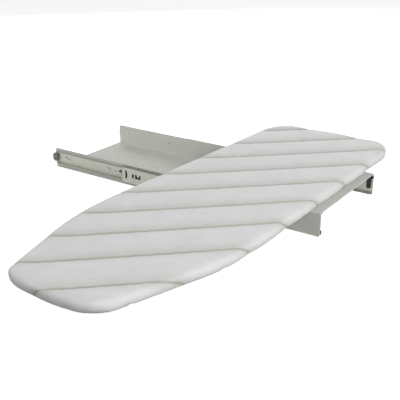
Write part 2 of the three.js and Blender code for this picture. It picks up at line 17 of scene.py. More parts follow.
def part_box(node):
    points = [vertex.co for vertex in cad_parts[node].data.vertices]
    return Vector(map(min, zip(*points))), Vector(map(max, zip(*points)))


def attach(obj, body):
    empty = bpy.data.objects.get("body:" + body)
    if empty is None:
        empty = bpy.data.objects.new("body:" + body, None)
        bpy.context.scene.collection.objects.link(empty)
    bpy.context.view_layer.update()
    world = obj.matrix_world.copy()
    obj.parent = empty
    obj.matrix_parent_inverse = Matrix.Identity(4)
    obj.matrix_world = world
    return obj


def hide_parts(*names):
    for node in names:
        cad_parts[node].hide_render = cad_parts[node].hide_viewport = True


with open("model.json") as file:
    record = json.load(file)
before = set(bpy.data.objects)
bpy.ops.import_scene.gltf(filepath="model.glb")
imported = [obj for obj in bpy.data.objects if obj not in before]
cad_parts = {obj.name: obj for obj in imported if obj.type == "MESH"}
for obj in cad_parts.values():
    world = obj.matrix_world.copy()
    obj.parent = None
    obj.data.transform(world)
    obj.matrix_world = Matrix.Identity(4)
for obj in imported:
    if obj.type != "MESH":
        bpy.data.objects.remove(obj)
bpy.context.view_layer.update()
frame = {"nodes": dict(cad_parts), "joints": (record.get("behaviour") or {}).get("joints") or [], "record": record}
nodes = frame["nodes"]
joints = {joint["name"]: joint for joint in frame["joints"]}
pivot = np.array(joints["board_swivel"]["pos_m"])
cover_low, cover_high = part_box("quilted_cover")

MM = 0.001

# ------------------------------------------------------------------ the cover's driving sizes

UPPER_EDGE = (18 * MM, 12.5 * MM)    # half axes of the pad's upper edge, across and upright
LOWER_EDGE = (6 * MM, 5 * MM)
UPPER_SQUARENESS = 2.3               # exponent of the upper edge's curve: 2 is an ellipse
NOSE_UPPER_EDGE = (18 * MM, 6 * MM)  # across the nose, where the cloth is pulled tight and under
NOSE_LOWER_EDGE = (11 * MM, 13.5 * MM)
NOSE_SQUARENESS = 4.6
HEM_WIDTH = 30 * MM
HEM_RINGS = 7
HEM_DROP = 0.5 * MM                  # how far the hem's free edge hangs below the board's underside
HEM_GATHER = 0.6 * MM                # height of its gathers
RIM_POINTS = 560                     # points round the cover
ROW_STEP = 4.3 * MM                  # along a row of points
SEAM_COUNT = 9
SEAM_ANGLE = math.radians(43)        # from the pull-out direction
SEAM_SPACING = 90.8 * MM
FIRST_SEAM = (pivot[0] - 9.6 * MM, -666.6 * MM)
ROW_OFFSETS = [1.1, 2.8, 5.2, 8.4, 12.2, 16.3, 20.5, 24.7, 28.9, 33.1, 37.3, 41.4]
SEAM_DEPTH = 4.0 * MM                # below the plain solid's top
CROWN_RISE = 1.4 * MM                # above it
GROOVE_DEPTH = 1.0 * MM              # the stitches' own groove, at the bottom of a seam
GROOVE_REACH = 1.3 * MM
CROWN_REACH = 45 * MM                # from a seam to the top of its channel
CROWN_ROUNDNESS = 1.85               # exponent of a channel's cross-section: 2 is an ellipse
CLOTH_THICKNESS = 0.9 * MM
MOST_SWELL = 2.8 * MM                # how far the simulation may move a point of the top
MOST_EDGE_SWELL = 0.8 * MM
HELD_BORDER = 10 * MM                # of the cloth, held by the hem during the simulation
EDGE_SWELL_REACH = 14 * MM           # past the top's rim, where the swelling falls to its edge value
NO_SEAM_GAP = 20 * MM                # the seam distance that the hem's points are given
ON_SEAM = 0.05 * MM
HEM_FADE = 8 * MM                    # over which the seams run out towards the hem
SHARE_LEFT = 0.12                    # of a seam's depth that is left past the rim on the left
SHARE_ADDED_RIGHT = 0.55             # and how much more is left on the right
PUCKER_WAVES = (17 * MM, 23 * MM, 31 * MM, 11.5 * MM)
PUCKER_HEIGHT = 0.9 * MM
PUCKER_REACH = 9 * MM
PUCKER_CLEAR = 1.5 * MM              # the seam itself stays straight within this distance
STITCH_STEP = 3.2 * MM
STITCH_LENGTH = 2.5 * MM
THREAD = 0.5 * MM

# ------------------------------------------------------------------ the foam, elastic and balls

FOAM_STEP = 11 * MM
FOAM_ROWS = [3, 8, 15, 24, 34, 44]
FOAM_RIM_POINTS = 240
FOAM_CLEARANCE = 1.1 * MM            # below the cloth's inner face
FOAM_TOP_EDGE = 68 * MM              # height where the foam's side starts
FOAM_BOTTOM = 64.2 * MM
FOAM_NOSE_TUCK = 2.4 * MM            # of the foam's bottom rim at the nose
FOAM_OVER_PANEL = 0.7 * MM           # least thickness of foam over the panel
PANEL_INSET = 7 * MM
PANEL_TOP = 70.2 * MM
ELASTIC_WIDTH = 4.4 * MM
ELASTIC_THICKNESS = 0.8 * MM
ELASTIC_CORNER = 0.25 * MM
ELASTIC_DROP = 0.25 * MM             # below the board's underside
ELASTIC_GATHER = 0.3 * MM
# a ball's radius, its distance from the carriage's middle plane, half the two rows' spread, spacing
OUTER_BALLS = (1.5875 * MM, 127.65 * MM, 20.0 * MM, 9.5 * MM)
INNER_BALLS = (1.985 * MM, 123.85 * MM, 16.4 * MM, 8 * MM)

# ------------------------------------------------------------------ colours, light and camera

CLOTH_COLOR = (0.655, 0.66, 0.655)
SEAM_PAINTED_SHADE = (0.40, 0.39, 0.325)      # painted shade, tinted yellow, darkening the cloth towards a seam
STITCH_PAINTED_SHADE = (0.31, 0.295, 0.235)   # and darker painted shade beside its stitches, in the seam's groove
SEAM_SHADE_REACH = 30 * MM
STITCH_SHADE_EDGES = (0.7 * MM, 3.2 * MM)
MM_PER_UNIT = 1000
FLOOR_REACH = 60.0
FLOOR_DROP = 0.2 * MM
FLOOR_GLOW = 0.8
WORLD_COLOR = (0.97, 0.985, 1, 1)
WORLD_STRENGTH = 0.13
LIGHT_AIM = (0.33, -0.15, 0.06)
LIGHT_DISTANCE = 3
LIGHT_SIZE = 1.4
CAMERA_PLACE = (1.04277, -1.28385, 0.58425)
CAMERA_TILT = math.radians(67.81)
CAMERA_TURN = math.radians(34.37)
CAMERA_LENS = 64.05
CAMERA_SENSOR = 36

along_seam = np.array([math.cos(SEAM_ANGLE), math.sin(SEAM_ANGLE)])
across_seam = np.array([-math.sin(SEAM_ANGLE), math.cos(SEAM_ANGLE)])
first_across = float(np.dot(FIRST_SEAM, across_seam))


# ------------------------------------------------------------------ tools

def new_object(name, vertices, faces, body, smooth=True):
    mesh = bpy.data.meshes.new(name)
    mesh.from_pydata([tuple(map(float, v)) for v in vertices], [], [tuple(map(int, f)) for f in faces])
    mesh.validate()
    mesh.update()
    if smooth:
        mesh.polygons.foreach_set("use_smooth", [True] * len(mesh.polygons))
    made = bpy.data.objects.new(name, mesh)
    bpy.context.scene.collection.objects.link(made)
    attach(made, body)
    return made


def set_points(made, points):
    made.data.vertices.foreach_set("co", np.asarray(points, np.float32).ravel())
    made.data.update()


def get_points(mesh):
    points = np.zeros(len(mesh.vertices) * 3, np.float32)
    mesh.vertices.foreach_get("co", points)
    return points.reshape(-1, 3).astype(float)


def get_normals(mesh):
    normals = np.zeros(len(mesh.vertices) * 3, np.float32)
    mesh.vertex_normals.foreach_get("vector", normals)
    return normals.reshape(-1, 3).astype(float)


def store(mesh, name, values):
    attribute = mesh.attributes.new(name, "FLOAT", "POINT")
    attribute.data.foreach_set("value", np.asarray(values, np.float32))


def resampled(loop, count):
    """count points evenly spaced round a closed loop."""
    closed = np.vstack([loop, loop[:1]])
    steps = np.linalg.norm(np.diff(closed, axis=0), axis=1)
    along = np.concatenate([[0], np.cumsum(steps)])
    places = np.linspace(0, along[-1], count, endpoint=False)
    return np.column_stack([np.interp(places, along, closed[:, axis]) for axis in (0, 1)])


def smoothed(loop, reach):
    """A closed loop of evenly spaced points, blurred over about reach points."""
    index = np.fft.fftfreq(len(loop)) * len(loop)
    kernel = np.exp(-(index ** 2) / (2 * reach ** 2))
    kernel /= kernel.sum()
    blur = np.fft.fft(kernel)[:, None]
    return np.fft.ifft(np.fft.fft(loop, axis=0) * blur, axis=0).real


def outward(loop):
    """Unit normals of an anticlockwise loop, pointing out."""
    along = np.roll(loop, -1, 0) - np.roll(loop, 1, 0)
    along /= np.linalg.norm(along, axis=1)[:, None]
    return np.column_stack([along[:, 1], -along[:, 0]])


# ------------------------------------------------------------------ the board's outline and edge

def board_outline(count):
    """The board's widest outline, anticlockwise, from the cover's CAD solid."""
    level = cover_high.z - UPPER_EDGE[1]
    found = {
        (round(v.co.x, 6), round(v.co.y, 6))
        for v in nodes["quilted_cover"].data.vertices
        if abs(v.co.z - level) < 0.1 * MM
    }
    corners = np.array(sorted(found))
    arms = corners - (corners.min(0) + corners.max(0)) / 2
    corners = corners[np.argsort(np.arctan2(arms[:, 1], arms[:, 0]))]
    fine = smoothed(resampled(corners, 2400), 7)
    return resampled(fine, count)


def edge_profile(upper_edge, lower_edge, squareness):
    """From the flat top's rim over the edge to the underside: arc length, inset and height."""
    upper_across, upper_drop = upper_edge
    lower_across, lower_rise = lower_edge
    turn = np.linspace(0, math.pi / 2, 41)
    power = 2 / squareness
    upper = np.column_stack([
        upper_across * (1 - np.sin(turn) ** power),
        cover_high.z - upper_drop * (1 - np.cos(turn) ** power),
    ])
    lower = np.column_stack([
        lower_across * (1 - np.cos(turn)),
        cover_low.z + lower_rise * (1 - np.sin(turn)),
    ])
    line = np.vstack([upper, lower])
    steps = np.linalg.norm(np.diff(line, axis=0), axis=1)
    length = np.concatenate([[0], np.cumsum(steps)])
    keep = np.concatenate([[True], steps > 1e-9])
    return length[keep], line[keep, 0], line[keep, 1]


soft_edge = edge_profile(UPPER_EDGE, LOWER_EDGE, UPPER_SQUARENESS)
crisp_edge = edge_profile(NOSE_UPPER_EDGE, NOSE_LOWER_EDGE, NOSE_SQUARENESS)
edge_length = soft_edge[0][-1]
outline = board_outline(RIM_POINTS)
outline_normals = outward(outline)
fine_outline = board_outline(4 * RIM_POINTS)
fine_normals = outward(fine_outline)
fine_rim = fine_outline - fine_normals * UPPER_EDGE[0]


def smooth_step(value, low, high):
    share = np.clip((value - low) / (high - low), 0, 1)
    return share * share * (3 - 2 * share)


def nose_share(way_out):
    """1 across the nose, 0 along the board's sides."""
    return smooth_step(-way_out[:, 1], 0.35, 0.8)


def on_profile(reach, crisp):
    """Inset and height at an arc length past the rim, between the soft and the crisp edge."""
    found = []
    for column in (1, 2):
        soft = np.interp(reach, soft_edge[0], soft_edge[column])
        sharp = np.interp(reach * crisp_edge[0][-1] / edge_length, crisp_edge[0], crisp_edge[column])
        found.append(soft + (sharp - soft) * crisp)
    return found


def wrapped(flat):
    """Wraps points of the flat cloth over the board's edge.

    Gives their places and normals, how far each lies past the top's rim, and the edge's way out there.
    """
    places = np.zeros((len(flat), 3))
    normals = np.zeros((len(flat), 3))
    beyond = np.zeros(len(flat))
    ways_out = np.zeros((len(flat), 2))
    for start in range(0, len(flat), 2000):
        part = slice(start, start + 2000)
        gaps = flat[part, None, :] - fine_rim[None, :, :]
        nearest = (gaps ** 2).sum(2).argmin(1)
        out = fine_normals[nearest]
        crisp = nose_share(out)
        arm = flat[part] - fine_rim[nearest]
        side = (arm * out).sum(1)
        reach = np.maximum(side, 0)
        inset, height = on_profile(reach, crisp)
        step = 0.4 * MM
        ahead_inset, ahead_height = on_profile(reach + step, crisp)
        back_inset, back_height = on_profile(reach - step, crisp)
        outer = side > 0
        edge = fine_rim[nearest] + out * (UPPER_EDGE[0] - inset)[:, None]
        slide = arm - out * side[:, None]
        ground = np.where(outer[:, None], edge + slide, flat[part])
        places[part] = np.column_stack([ground, height])
        lean = np.column_stack([back_height - ahead_height, back_inset - ahead_inset])
        lean /= np.maximum(np.linalg.norm(lean, axis=1), 1e-12)[:, None]
        tilted = np.column_stack([out * lean[:, :1], lean[:, 1]])
        normals[part] = np.where(outer[:, None], tilted, [0, 0, 1])
        beyond[part] = side
        ways_out[part] = out
    return places, normals, beyond, ways_out


# ------------------------------------------------------------------ the cover's flat cloth

def seam_gap(flat):
    """Distance of a point of the flat cloth from the nearest seam, and the nearest seam's number."""
    row = (flat @ across_seam - first_across) / SEAM_SPACING
    nearest = np.clip(np.round(row), 0, SEAM_COUNT - 1)
    return np.abs(row - nearest) * SEAM_SPACING, nearest


def flat_cloth(row_step, row_offsets, rim_points, reach):
    """The flat cloth as points and triangles, with its rim first and rows of points along the seams."""
    rim = board_outline(rim_points)
    border = rim + outward(rim) * (reach - UPPER_EDGE[0])
    along = border @ along_seam
    across = border @ across_seam
    offsets = [0.0] + [offset * MM for offset in row_offsets]
    rows = []
    for seam in range(-1, SEAM_COUNT + 1):
        middle = first_across + seam * SEAM_SPACING
        rows += [(middle + offset, seam) for offset in offsets]
        rows += [(middle - offset, seam) for offset in offsets[1:]]
    points = [tuple(p) for p in border]
    edges = []
    clearance = 0.55 * row_step
    closed = np.vstack([border, border[:1]])
    for index, (place, seam) in enumerate(sorted(rows)):
        if place < across.min() or place > across.max():
            continue
        shift = 0.5 * row_step * (index % 2)
        count = int((along.max() - along.min()) / row_step) + 2
        ahead = along.min() + shift + row_step * np.arange(count)
        row = ahead[:, None] * along_seam + place * across_seam
        row = row[inside(row, closed)]
        if not len(row):
            continue
        near = np.linalg.norm(row[:, None, :] - border[None, :, :], axis=2).min(1)
        row = row[near > clearance]
        first = len(points)
        points += [tuple(p) for p in row]
        on_seam = abs(place - first_across - seam * SEAM_SPACING) < 1e-9
        if on_seam and 0 <= seam < SEAM_COUNT:
            edges += [(first + k, first + k + 1) for k in range(len(row) - 1)]
    made = delaunay_2d_cdt([Vector(p) for p in points], edges, [list(range(rim_points))], 1, 1e-7)
    flat = np.array([tuple(p) for p in made[0]])
    return flat, [tuple(face) for face in made[2]]


def inside(points, closed):
    """Which points lie inside a closed loop, by counting the sides that a ray crosses."""
    x0, y0 = closed[:-1, 0], closed[:-1, 1]
    x1, y1 = closed[1:, 0], closed[1:, 1]
    px, py = points[:, :1], points[:, 1:]
    spans = (y0 > py) != (y1 > py)
    rise = np.where(y1 == y0, 1e-12, y1 - y0)
    cross = x0 + (py - y0) * (x1 - x0) / rise
    return ((spans & (px < cross)).sum(1) % 2) == 1


def channel_height(gap):
    """Height of the cloth over the plain solid, by distance from the nearest seam."""
    share = 1 - np.minimum(gap / CROWN_REACH, 1)
    crown = (1 - share ** CROWN_ROUNDNESS) ** (1 / CROWN_ROUNDNESS)
    return (SEAM_DEPTH + CROWN_RISE) * crown - SEAM_DEPTH


def seam_share(beyond, way_out):
    """A seam's share of its depth past the rim: least on the left, where the hem pulls it flat."""
    right = smooth_step(way_out[:, 0], -0.6, 0.3)
    lead = 25 * MM * (1 - right) + 2 * MM
    left_over = SHARE_LEFT + SHARE_ADDED_RIGHT * right
    share = (beyond + lead) / (lead + 14 * MM)
    return 1 - (1 - left_over) * smooth_step(share, 0, 1)


def sewn(flat):
    """Wraps points of the flat cloth over the board and draws them down to the seams."""
    places, normals, beyond, way_out = wrapped(flat)
    gap, nearest = seam_gap(flat)
    fade = np.clip((edge_length - beyond) / HEM_FADE, 0, 1)
    lift = channel_height(gap) * fade * seam_share(beyond, way_out)
    return places + normals * lift[:, None], normals, gap, nearest, beyond


def hem_waves():
    """Gathers round the hem, from about -1 to 1, at each of the rim's points."""
    chance = np.random.default_rng(7)
    around = np.arange(RIM_POINTS) / RIM_POINTS * 2 * math.pi
    waves = [np.sin(count * around + chance.uniform(0, 2 * math.pi)) for count in range(50, 135, 7)]
    return sum(waves) / 4


def with_hem(flat, points, faces):
    """Adds the rings of the hem, from the rim of the wrapped cloth inwards along the underside."""
    count = RIM_POINTS
    rings = []
    flats = []
    waves = hem_waves()
    widened = NOSE_LOWER_EDGE[0] - LOWER_EDGE[0]
    first_inset = LOWER_EDGE[0] + widened * nose_share(outline_normals)
    for ring in range(1, HEM_RINGS + 1):
        share = ring / HEM_RINGS
        inset = first_inset + (HEM_WIDTH - first_inset) * share
        ground = outline - outline_normals * inset[:, None]
        height = cover_low.z - share * (HEM_DROP + HEM_GATHER * waves)
        rings.append(np.column_stack([ground, height]))
        flats.append(outline + outline_normals * (edge_length - UPPER_EDGE[0] + HEM_WIDTH * share))
    first = len(points)
    indices = [np.arange(count)]
    indices += [first + ring * count + np.arange(count) for ring in range(HEM_RINGS)]
    faces = list(faces)
    for outer, inner in zip(indices, indices[1:]):
        faces += ring_faces(outer, inner)
    return np.vstack([flat, *flats]), np.vstack([points, *rings]), faces


def ring_faces(outer, inner):
    """Quads between two closed rings of points."""
    after = np.roll(np.arange(len(outer)), -1)
    return [(outer[b], outer[a], inner[a], inner[b]) for a, b in enumerate(after)]


# ------------------------------------------------------------------ cloth simulation

def inflate(made, pinned, caps, frames=18):
    """Swells a mesh between its pinned points with Cloth, and caps how far each point moves."""
    start = get_points(made.data)
    group = made.vertex_groups.new(name="held")
    group.add([int(index) for index in np.nonzero(pinned)[0]], 1.0, "REPLACE")
    cloth = made.modifiers.new("swell", "CLOTH")
    settings = cloth.settings
    settings.quality = 5
    settings.mass = 0.2
    settings.tension_stiffness = 12
    settings.compression_stiffness = 12
    settings.shear_stiffness = 6
    settings.bending_stiffness = 0.3
    settings.vertex_group_mass = group.name
    settings.use_pressure = True
    settings.uniform_pressure_force = 4
    settings.effector_weights.gravity = 0
    cloth.point_cache.frame_start = 1
    cloth.point_cache.frame_end = frames
    scene = bpy.context.scene
    for number in range(1, frames + 1):
        scene.frame_set(number)
    graph = bpy.context.evaluated_depsgraph_get()
    end = get_points(made.evaluated_get(graph).data)
    made.modifiers.remove(cloth)
    made.vertex_groups.remove(group)
    scene.frame_set(1)
    move = end - start
    length = np.linalg.norm(move, axis=1)
    share = np.minimum(1, caps / np.maximum(length, 1e-9))
    set_points(made, start + move * share[:, None])


# ------------------------------------------------------------------ materials

def material(name, color, roughness, metallic=0.0, **sockets):
    made = bpy.data.materials.new(name)
    made.use_nodes = True
    tree = made.node_tree
    shader = tree.nodes["Principled BSDF"]
    shader.inputs["Base Color"].default_value = (*color, 1)
    shader.inputs["Roughness"].default_value = roughness
    shader.inputs["Metallic"].default_value = metallic
    for socket, value in sockets.items():
        shader.inputs[socket.replace("_", " ")].default_value = value
    return made, tree, shader


def node(tree, kind, inputs=None, **settings):
    made = tree.nodes.new("ShaderNode" + kind)
    for key, value in settings.items():
        setattr(made, key, value)
    for key, value in (inputs or {}).items():
        if isinstance(value, bpy.types.NodeSocket):
            tree.links.new(value, made.inputs[key])
        else:
            made.inputs[key].default_value = value
    return made


def places(tree, scale=(1, 1, 1), turn=(0, 0, 0), uv=None):
    """Coordinates in millimetres: the object's own, or those of a named UV map."""
    if uv:
        source = node(tree, "UVMap", uv_map=uv).outputs["UV"]
    else:
        source = node(tree, "TexCoord").outputs["Object"]
    inputs = {"Vector": source, "Scale": [MM_PER_UNIT * s for s in scale], "Rotation": turn}
    return node(tree, "Mapping", inputs).outputs["Vector"]


def noise(tree, where, scale, detail=3.0, roughness=0.5, distortion=0.0):
    inputs = {"Vector": where, "Scale": scale, "Detail": detail, "Roughness": roughness}
    inputs["Distortion"] = distortion
    return node(tree, "TexNoise", inputs).outputs["Fac"]


def ramp(tree, value, low, high, to_low=0.0, to_high=1.0):
    inputs = {"Value": value, "From Min": low, "From Max": high, "To Min": to_low, "To Max": to_high}
    return node(tree, "MapRange", inputs).outputs["Result"]


def maths(tree, operation, first, second):
    return node(tree, "Math", {0: first, 1: second}, operation=operation).outputs[0]


def mixed(tree, share, first, second):
    made = node(tree, "Mix", data_type="RGBA")
    for socket, value in zip((0, 6, 7), (share, first, second)):
        if isinstance(value, bpy.types.NodeSocket):
            tree.links.new(value, made.inputs[socket])
        else:
            made.inputs[socket].default_value = value if isinstance(value, float) else (*value, 1)
    return made.outputs[2]


def bump(tree, height, distance, strength=1.0, normal=None):
    inputs = {"Height": height, "Distance": distance, "Strength": strength}
    if normal:
        inputs["Normal"] = normal
    return node(tree, "Bump", inputs).outputs["Normal"]


def join(tree, shader, **sockets):
    for socket, value in sockets.items():
        tree.links.new(value, shader.inputs[socket.replace("_", " ")])


def soft_edges(tree, radius):
    """Normals that round the edges of folded sheet metal and moulded plastic."""
    return node(tree, "Bevel", {"Radius": radius}, samples=4).outputs["Normal"]


def shades(color, spread):
    return [tuple(channel * factor for channel in color) for factor in (1 - spread, 1 + spread)]


def cover_cloth():
    """Plain-woven cotton, with painted shade, tinted yellow, along its sewn seams."""
    color = CLOTH_COLOR
    made, tree, shader = material("cover_cloth", color, 0.9, Sheen_Weight=0.25, Sheen_Roughness=0.5)
    shader.inputs["Specular IOR Level"].default_value = 0.25
    where = places(tree, uv="cut")
    thread = 2 * math.pi / (20 * 0.62)
    threads = {"Vector": where, "Scale": thread, "Distortion": 0.4, "Detail Scale": 0.3}
    warp = node(tree, "TexWave", threads, bands_direction="X").outputs["Fac"]
    weft = node(tree, "TexWave", threads, bands_direction="Y").outputs["Fac"]
    weave = maths(tree, "MAXIMUM", warp, weft)
    slubs = noise(tree, places(tree, (0.05, 1.2, 1), uv="cut"), 1.0, 2.0)
    fuzz = noise(tree, where, 0.55, 4.0, 0.65)
    clouds = noise(tree, where, 0.02, 3.0, 0.6)
    low, high = shades(color, 0.075)
    cloth = mixed(tree, ramp(tree, maths(tree, "ADD", fuzz, slubs), 0.7, 1.3), low, high)
    low, high = shades((1.0, 1.0, 1.0), 0.03)
    patches = mixed(tree, ramp(tree, clouds, 0.35, 0.65), low, high)
    layers = {0: 1.0, 6: cloth, 7: patches}
    cloth = node(tree, "Mix", layers, data_type="RGBA", blend_type="MULTIPLY").outputs[2]
    # painted shade: the cloth darkens and yellows towards each seam, standing in for the shade on the channels'
    # slopes
    gap = node(tree, "Attribute", attribute_name="seam_gap").outputs["Fac"]
    near = ramp(tree, gap, 0.0, SEAM_SHADE_REACH, 0.72, 0.0)
    uneven = ramp(tree, noise(tree, where, 0.06, 3.0), 0.3, 0.7, 0.75, 1.15)
    painted_shade = maths(tree, "MULTIPLY", maths(tree, "MULTIPLY", near, near), uneven)
    cloth = mixed(tree, painted_shade, cloth, SEAM_PAINTED_SHADE)
    # painted shade in the groove beside the stitches, darker than towards the seam
    cloth = mixed(tree, ramp(tree, gap, *STITCH_SHADE_EDGES, 0.7, 0.0), cloth, STITCH_PAINTED_SHADE)
    height = maths(tree, "ADD", maths(tree, "MULTIPLY", weave, 0.35), maths(tree, "ADD", slubs, fuzz))
    join(tree, shader, Base_Color=cloth, Normal=bump(tree, height, 0.35 * MM, 0.6))
    return made


def stitch_thread():
    made, tree, shader = material("stitch_thread", (0.6, 0.59, 0.55), 0.6)
    inputs = {"Vector": places(tree, turn=(0, 0, 0.6)), "Scale": 0.9}
    twist = node(tree, "TexWave", inputs).outputs["Fac"]
    join(tree, shader, Normal=bump(tree, twist, 0.1 * MM))
    return made


def powder_coat():
    """Warm light-grey powder coat: fine orange peel, with the folds' edges rounded."""
    color = (0.59, 0.595, 0.55)
    made, tree, shader = material("powder_coat", color, 0.45)
    where = places(tree)
    peel = noise(tree, where, 1.1, 2.0)
    clouds = noise(tree, where, 0.03, 4.0)
    low, high = shades(color, 0.035)
    join(
        tree, shader, Base_Color=mixed(tree, ramp(tree, clouds, 0.3, 0.7), low, high),
        Roughness=ramp(tree, noise(tree, where, 0.12, 3.0), 0.3, 0.7, 0.38, 0.55),
        Normal=bump(tree, peel, 0.06 * MM, 0.5, soft_edges(tree, 0.5 * MM)),
    )
    return made


def zinc_plate():
    """Zinc-plated strip: rolled lines along its length, cloudy and slightly green."""
    color = (0.46, 0.47, 0.405)
    made, tree, shader = material("zinc_plate", color, 0.42, 0.7)
    lines = noise(tree, places(tree, (0.02, 2.5, 2.5)), 1.0, 3.0)
    clouds = noise(tree, places(tree), 0.09, 5.0, 0.7)
    low, high = shades(color, 0.09)
    join(
        tree, shader, Base_Color=mixed(tree, ramp(tree, clouds, 0.3, 0.7), low, high),
        Roughness=ramp(tree, maths(tree, "ADD", lines, clouds), 0.6, 1.4, 0.36, 0.54),
        Normal=bump(tree, lines, 0.02 * MM, 0.3, soft_edges(tree, 0.3 * MM)),
    )
    return made


def bright_steel():
    color = (0.47, 0.48, 0.47)
    made, tree, shader = material("bright_steel", color, 0.3, 1.0)
    wear = noise(tree, places(tree), 0.6, 4.0)
    join(
        tree, shader, Roughness=ramp(tree, wear, 0.3, 0.7, 0.26, 0.42),
        Normal=bump(tree, wear, 0.03 * MM, 0.4, soft_edges(tree, 0.25 * MM)),
    )
    return made


def moulded(name, color, roughness, grain=0.5):
    """Moulded plastic, nylon or rubber: a fine spark-eroded grain."""
    made, tree, shader = material(name, color, roughness)
    where = places(tree)
    low, high = shades(color, 0.15)
    patches = ramp(tree, noise(tree, where, 0.15, 3.0), 0.3, 0.7)
    join(
        tree, shader, Base_Color=mixed(tree, patches, low, high),
        Roughness=ramp(tree, noise(tree, where, 0.5), 0.3, 0.7, roughness - 0.08, roughness + 0.1),
        Normal=bump(tree, noise(tree, where, 4.0, 2.0), 0.05 * MM, grain, soft_edges(tree, 0.4 * MM)),
    )
    return made


def wood_panel():
    """Birch-faced panel with its grain along the board."""
    light, dark = (0.56, 0.47, 0.36), (0.42, 0.33, 0.23)
    made, tree, shader = material("wood_panel", light, 0.7)
    where = places(tree, (0.10, 0.004, 0.3), (0, 0, math.radians(1.1)))
    grain = noise(tree, where, 1.0, 5.0, 0.6, 1.6)
    pores = noise(tree, places(tree, (2.5, 0.12, 2.5)), 1.0, 2.0)
    join(
        tree, shader, Base_Color=mixed(tree, ramp(tree, grain, 0.35, 0.7), light, dark),
        Roughness=ramp(tree, pores, 0.3, 0.7, 0.6, 0.8), Normal=bump(tree, pores, 0.08 * MM, 0.6),
    )
    return made


def foam_rubber():
    color = (0.72, 0.68, 0.55)
    made, tree, shader = material("foam_rubber", color, 0.95)
    cells = node(tree, "TexVoronoi", {"Vector": places(tree), "Scale": 1.2}).outputs["Distance"]
    low, high = shades(color, 0.1)
    join(
        tree, shader, Base_Color=mixed(tree, ramp(tree, cells, 0.0, 0.8), low, high),
        Normal=bump(tree, cells, 0.4 * MM),
    )
    return made


def elastic_tape():
    """Ribbed elastic, with its ribs across the tape."""
    color = (0.66, 0.65, 0.61)
    made, tree, shader = material("elastic_tape", color, 0.85, Sheen_Weight=0.2)
    ribs = node(tree, "TexWave", {"Vector": places(tree, uv="cut"), "Scale": 0.26}).outputs["Fac"]
    low, high = shades(color, 0.12)
    join(tree, shader, Base_Color=mixed(tree, ribs, low, high), Normal=bump(tree, ribs, 0.3 * MM, 0.8))
    return made


finishes = {
    "painted_sheet": powder_coat(),
    "zinc_rail": zinc_plate(),
    "bright_steel": bright_steel(),
    "black_plastic": moulded("black_plastic", (0.018, 0.018, 0.018), 0.4),
    "grey_plastic": moulded("grey_plastic", (0.2, 0.21, 0.22), 0.5),
    "black_rubber": moulded("black_rubber", (0.02, 0.02, 0.02), 0.75),
    "nylon": moulded("nylon", (0.72, 0.71, 0.66), 0.45),
    "wood_panel": wood_panel(),
    "foam": foam_rubber(),
    "cover_fabric": cover_cloth(),
    "elastic": elastic_tape(),
}


def finish(made, slot):
    made.data.materials.append(finishes[slot])


for subpart in frame["record"]["subparts"]:
    for held in nodes[subpart["node"]].material_slots:
        held.material = finishes[subpart["material_slot"]]


# ------------------------------------------------------------------ the padded cover

def set_cut(mesh, cut):
    """Stores each point's place on the flat cloth as a UV map, in metres."""
    layer = mesh.uv_layers.new(name="cut")
    corners = np.zeros(len(mesh.loops), np.int32)
    mesh.loops.foreach_get("vertex_index", corners)
    layer.data.foreach_set("uv", np.asarray(cut, np.float32)[corners].ravel())


def keep_shape(made):
    """Applies a piece's modifiers."""
    graph = bpy.context.evaluated_depsgraph_get()
    shaped = bpy.data.meshes.new_from_object(made.evaluated_get(graph), depsgraph=graph)
    made.modifiers.clear()
    made.data = shaped


def build_cover():
    """The quilted cover. Gives its seams too, each as a line of points and their normals."""
    flat, faces = flat_cloth(ROW_STEP, ROW_OFFSETS, RIM_POINTS, edge_length)
    points, _, gap, nearest, beyond = sewn(flat)
    on_seam = gap < ON_SEAM
    flat, points, faces = with_hem(flat, points, faces)
    cover = new_object("padded_cover", points, faces, "board")
    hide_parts("quilted_cover")
    hem_points = len(points) - len(gap)
    gap = np.concatenate([gap, np.full(hem_points, NO_SEAM_GAP)])
    beyond = np.concatenate([beyond, np.full(hem_points, edge_length)])
    held = (gap < ON_SEAM) | (beyond > edge_length - HELD_BORDER)
    on_edge = np.clip(beyond / EDGE_SWELL_REACH, 0, 1)
    inflate(cover, held, MOST_SWELL + (MOST_EDGE_SWELL - MOST_SWELL) * on_edge)
    pucker(cover, flat, gap, beyond)
    points = get_points(cover.data)
    normals = get_normals(cover.data)
    along = flat @ along_seam
    lines = []
    for seam in range(SEAM_COUNT):
        line = np.nonzero(on_seam & (nearest == seam))[0]
        line = line[np.argsort(along[line])]
        lines.append((points[line], normals[line]))
    store(cover.data, "seam_gap", gap)
    set_cut(cover.data, np.column_stack([along, flat @ across_seam]))
    thick = cover.modifiers.new("cloth", "SOLIDIFY")
    thick.thickness = CLOTH_THICKNESS
    thick.offset = -1
    keep_shape(cover)
    finish(cover, "cover_fabric")
    return lines


def pucker(made, flat, gap, beyond):
    """Small gathers square to each seam, and a tight groove under its stitches."""
    points = get_points(made.data)
    normals = get_normals(made.data)
    along = flat @ along_seam
    across = flat @ across_seam
    chance = np.random.default_rng(11)
    folds = np.zeros(len(flat))
    for wave in PUCKER_WAVES:
        phase = chance.uniform(0, 2 * math.pi)
        drift = chance.uniform(-0.4, 0.4)
        folds += np.sin(2 * math.pi * (along + drift * across) / wave + phase) / 4
    fade = np.exp(-gap / PUCKER_REACH) * (1 - np.exp(-gap / PUCKER_CLEAR))
    top = np.clip(1 - beyond / edge_length, 0, 1)
    groove = GROOVE_DEPTH * np.exp(-gap / GROOVE_REACH)
    lift = PUCKER_HEIGHT * folds * fade * top - groove * top
    set_points(made, points + normals * lift[:, None])


